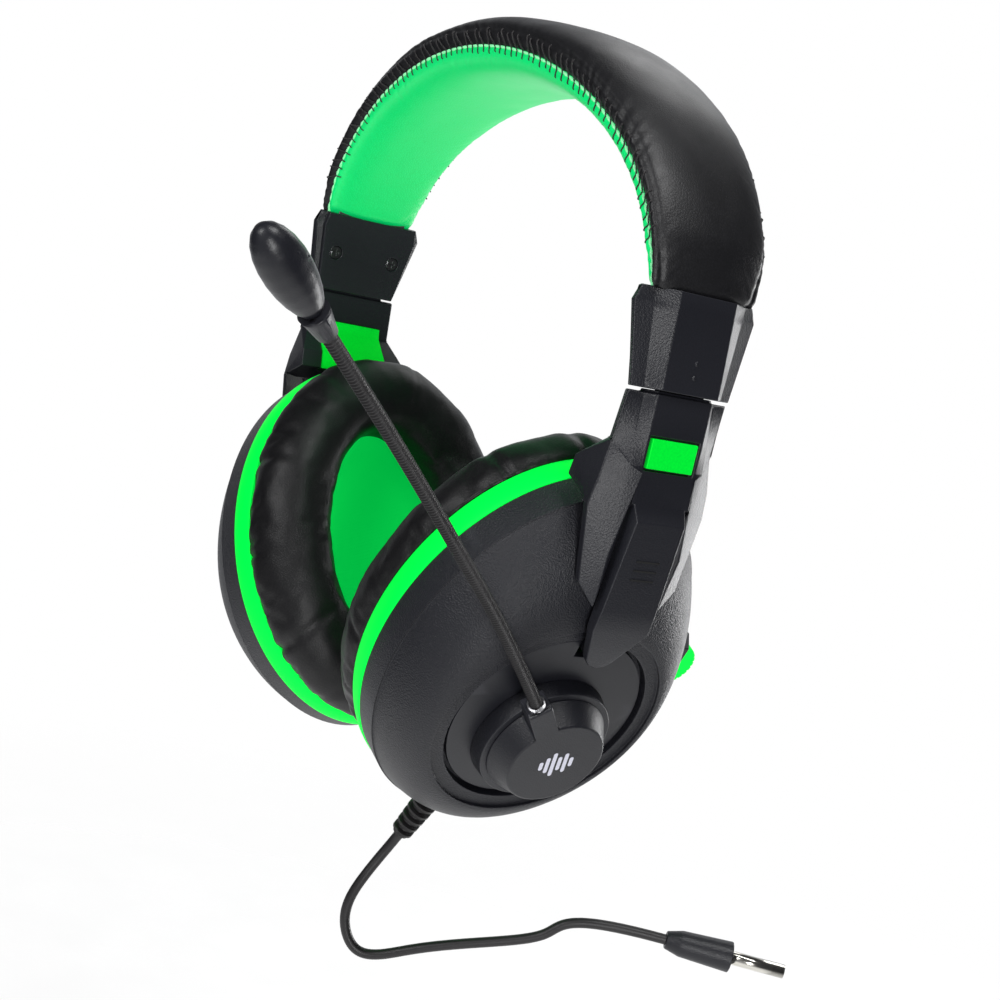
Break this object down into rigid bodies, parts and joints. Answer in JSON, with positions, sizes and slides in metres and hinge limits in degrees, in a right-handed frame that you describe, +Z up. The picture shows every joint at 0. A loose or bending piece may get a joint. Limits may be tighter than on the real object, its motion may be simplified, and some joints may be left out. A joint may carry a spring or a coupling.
{
  "type": "gaming headset",
  "caption": "Wired gaming headset with padded arched headband, sliding arms, tilting oval ear cups, swinging boom microphone, volume wheel and plug.",
  "frame": {"origin": "the middle of the headband's underside, where it rests on the top of the head", "axes": "+X to the wearer's left, -Y to the wearer's front, +Z up"},
  "size_m": [0.1964, 0.2014, 0.2395],
  "materials": {
    "black_leatherette": "fine grain, semi-gloss",
    "green_leatherette": "fine grain, semi-gloss",
    "spring_steel": "cold rolled",
    "black_plastic": "fine spark-eroded texture",
    "screw_steel": "dark plated",
    "green_plastic": "semi-gloss",
    "inner_plastic": "plain",
    "magnet_steel": "plated",
    "driver_film": "thin film",
    "green_fabric": "fine knitted mesh",
    "black_rubber": "satin",
    "nickel_plate": "polished"
  },
  "bodies": {
    "headband": {"headband_cover": "black_leatherette", "headband_pad": "green_leatherette", "headband_spring_strip": "spring_steel", "crossover_wire": "black_rubber", "left_cap_outer": "black_plastic", "left_cap_inner": "black_plastic", "left_cap_screws": "screw_steel", "left_detent_spring": "spring_steel", "right_cap_outer": "black_plastic", "right_cap_inner": "black_plastic", "right_cap_screws": "screw_steel", "right_detent_spring": "spring_steel"},
    "left_arm": {"left_yoke": "black_plastic", "left_yoke_liner": "green_plastic", "left_yoke_insert": "green_plastic", "left_slider_strip": "spring_steel"},
    "right_arm": {"right_yoke": "black_plastic", "right_yoke_liner": "green_plastic", "right_yoke_insert": "green_plastic", "right_slider_strip": "spring_steel"},
    "left_cup": {"left_cup_shell": "black_plastic", "left_face_plate": "black_plastic", "left_pivot_pin": "screw_steel", "left_trim_ring": "green_plastic", "left_baffle": "inner_plastic", "left_driver_frame": "inner_plastic", "left_driver_magnet": "magnet_steel", "left_driver_diaphragm": "driver_film", "left_ear_mesh": "green_fabric", "left_ear_cushion": "black_leatherette", "left_cup_screws": "screw_steel", "hub_base": "black_plastic", "volume_bezel": "black_plastic", "volume_pot": "inner_plastic", "strain_relief": "black_rubber", "cable": "black_rubber", "plug_body": "black_rubber", "plug_pin": "nickel_plate"},
    "right_cup": {"right_cup_shell": "black_plastic", "right_face_plate": "black_plastic", "right_pivot_pin": "screw_steel", "right_trim_ring": "green_plastic", "right_baffle": "inner_plastic", "right_driver_frame": "inner_plastic", "right_driver_magnet": "magnet_steel", "right_driver_diaphragm": "driver_film", "right_ear_mesh": "green_fabric", "right_ear_cushion": "black_leatherette", "right_cup_screws": "screw_steel", "blank_hub": "black_plastic"},
    "volume_wheel": {"volume_wheel": "green_plastic"},
    "mic_boom": {"mic_knob": "black_plastic", "mic_retainer": "spring_steel", "mic_socket": "screw_steel", "gooseneck": "black_rubber", "mic_sleeve": "black_rubber", "mic_capsule": "black_plastic", "mic_element": "magnet_steel"}
  },
  "joints": [
    {"name": "left_height", "type": "slide", "parent": "headband", "child": "left_arm", "axis": [0.0872, 0, -0.9962], "range_m": [0, 0.024]},
    {"name": "right_height", "type": "slide", "parent": "headband", "child": "right_arm", "axis": [-0.0872, 0, -0.9962], "range_m": [0, 0.024]},
    {"name": "left_cup_tilt", "type": "hinge", "parent": "left_arm", "child": "left_cup", "pos_m": [0.06396, 0, -0.11962], "axis": [0, -1, 0], "range_deg": [0, 22]},
    {"name": "right_cup_tilt", "type": "hinge", "parent": "right_arm", "child": "right_cup", "pos_m": [-0.06396, 0, -0.11962], "axis": [0, 1, 0], "range_deg": [0, 22]},
    {"name": "mic_swing", "type": "hinge", "parent": "left_cup", "child": "mic_boom", "pos_m": [0.03719, 0, -0.13788], "axis": [0.9026, 0, -0.4305], "range_deg": [-39, 105]},
    {"name": "volume_turn", "type": "hinge", "parent": "left_cup", "child": "volume_wheel", "pos_m": [0.05233, 0.0386, -0.12936], "axis": [0.9026, 0, -0.4305], "range_deg": [-150, 150]}
  ]
}
